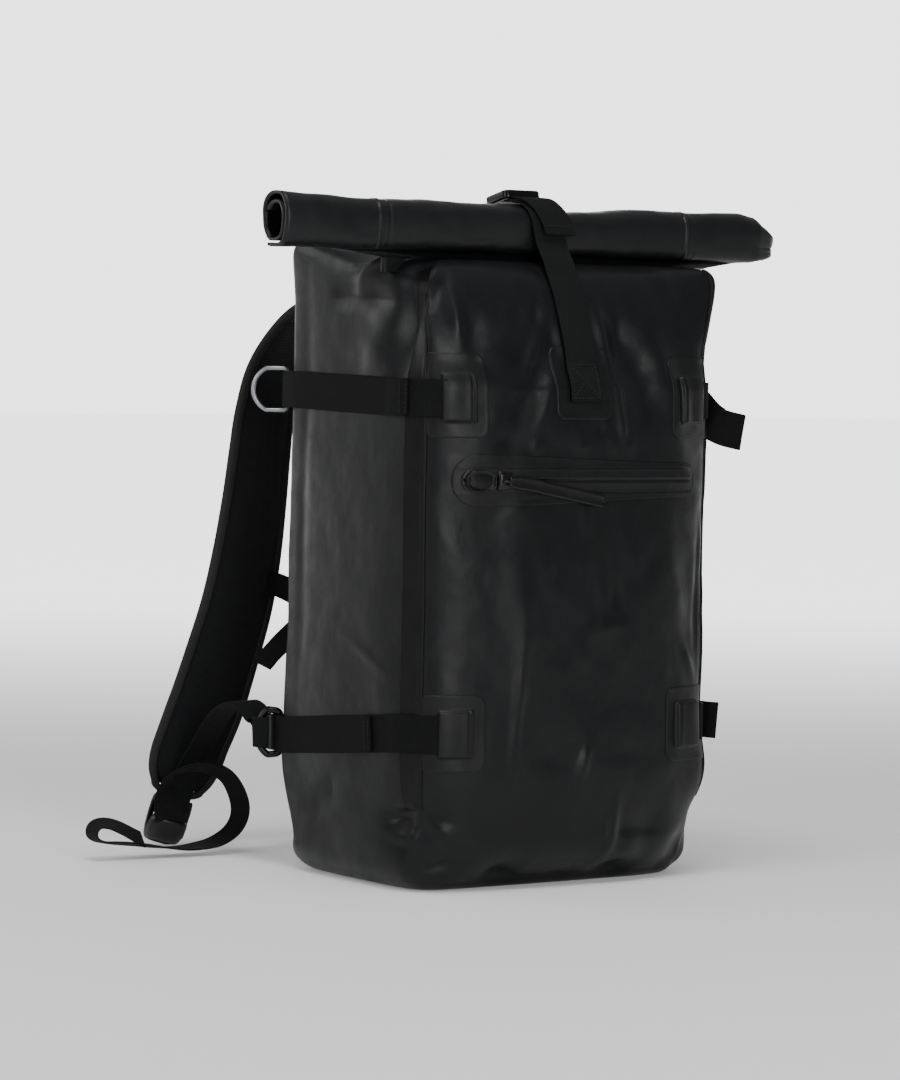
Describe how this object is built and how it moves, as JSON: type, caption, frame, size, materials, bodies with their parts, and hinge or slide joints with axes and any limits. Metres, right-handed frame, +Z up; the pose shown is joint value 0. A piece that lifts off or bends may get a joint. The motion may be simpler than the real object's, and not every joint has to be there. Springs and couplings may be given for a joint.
{
  "type": "rolltop backpack",
  "caption": "Rolltop backpack of welded coated cloth: upright sack, rolled top under a buckled strap, padded shoulder straps, side straps with rings and a front zip.",
  "frame": {"origin": "centre of the flat base, on the floor", "axes": "+X to the right as seen from the front, +Y from the front panel to the back panel, +Z up"},
  "size_m": [0.5358, 0.4082, 0.5584],
  "materials": {
    "sack_shell": "matte coated cloth with a soft sheen",
    "roll_top": "matte coated cloth with a soft sheen",
    "corner_seam_left": "welded coated cloth",
    "corner_seam_right": "welded coated cloth",
    "upper_patch_left": "welded coated cloth",
    "upper_patch_right": "welded coated cloth",
    "lower_patch_left": "welded coated cloth",
    "lower_patch_right": "welded coated cloth",
    "upper_stub_left": "woven webbing",
    "upper_stub_right": "woven webbing",
    "lower_stub_left": "woven webbing",
    "lower_stub_right": "woven webbing",
    "upper_band_left": "woven webbing",
    "upper_band_right": "woven webbing",
    "lower_band_left": "woven webbing",
    "lower_band_right": "woven webbing",
    "d_ring_left": "satin wire",
    "d_ring_right": "satin wire",
    "side_loop_left": "satin moulded plastic",
    "side_loop_right": "satin moulded plastic",
    "zip_patch": "welded coated cloth",
    "zip_tape": "coated zip tape",
    "zip_garage": "satin moulded plastic",
    "zip_slider": "satin moulded plastic",
    "zip_pull": "satin moulded plastic",
    "closure_patch": "welded coated cloth",
    "closure_strap": "woven webbing",
    "closure_tail": "woven webbing",
    "closure_buckle": "satin moulded plastic",
    "closure_strap_back": "woven webbing",
    "back_pad": "air mesh",
    "shoulder_pad_left": "air mesh",
    "shoulder_pad_right": "air mesh",
    "shoulder_binding_left": "folded edge tape",
    "shoulder_binding_right": "folded edge tape",
    "strap_anchor_left": "woven webbing",
    "strap_anchor_right": "woven webbing",
    "ladder_lock_left": "satin moulded plastic",
    "ladder_lock_right": "satin moulded plastic",
    "lock_tab_left": "woven webbing",
    "lock_tab_right": "woven webbing",
    "adjuster_webbing_left": "woven webbing",
    "adjuster_webbing_right": "woven webbing",
    "sternum_strap_left": "woven webbing",
    "sternum_strap_right": "woven webbing",
    "sternum_buckle": "satin moulded plastic",
    "sternum_tail": "woven webbing"
  },
  "bodies": {
    "root": {"sack_shell": "sack_shell", "roll_top": "roll_top", "corner_seam_left": "corner_seam_left", "corner_seam_right": "corner_seam_right", "upper_patch_left": "upper_patch_left", "upper_patch_right": "upper_patch_right", "lower_patch_left": "lower_patch_left", "lower_patch_right": "lower_patch_right", "upper_stub_left": "upper_stub_left", "upper_stub_right": "upper_stub_right", "lower_stub_left": "lower_stub_left", "lower_stub_right": "lower_stub_right", "upper_band_left": "upper_band_left", "upper_band_right": "upper_band_right", "lower_band_left": "lower_band_left", "lower_band_right": "lower_band_right", "side_loop_left": "side_loop_left", "side_loop_right": "side_loop_right", "zip_patch": "zip_patch", "zip_tape": "zip_tape", "zip_garage": "zip_garage", "zip_slider": "zip_slider", "zip_pull": "zip_pull", "closure_patch": "closure_patch", "closure_strap": "closure_strap", "closure_tail": "closure_tail", "closure_buckle": "closure_buckle", "closure_strap_back": "closure_strap_back", "back_pad": "back_pad", "shoulder_pad_left": "shoulder_pad_left", "shoulder_pad_right": "shoulder_pad_right", "shoulder_binding_left": "shoulder_binding_left", "shoulder_binding_right": "shoulder_binding_right", "strap_anchor_left": "strap_anchor_left", "strap_anchor_right": "strap_anchor_right", "ladder_lock_left": "ladder_lock_left", "ladder_lock_right": "ladder_lock_right", "lock_tab_left": "lock_tab_left", "lock_tab_right": "lock_tab_right", "adjuster_webbing_left": "adjuster_webbing_left", "adjuster_webbing_right": "adjuster_webbing_right", "sternum_strap_left": "sternum_strap_left", "sternum_strap_right": "sternum_strap_right", "sternum_buckle": "sternum_buckle", "sternum_tail": "sternum_tail"},
    "ring_left": {"d_ring_left": "d_ring_left"},
    "ring_right": {"d_ring_right": "d_ring_right"}
  },
  "joints": [
    {"name": "ring_left_swing", "type": "hinge", "parent": "root", "child": "ring_left", "pos_m": [-0.1371, 0.10596, 0.3935], "axis": [0, 0, 1], "range_deg": [-60, 35]},
    {"name": "ring_right_swing", "type": "hinge", "parent": "root", "child": "ring_right", "pos_m": [0.1371, 0.10596, 0.3935], "axis": [0, 0, 1], "range_deg": [-35, 60]}
  ]
}
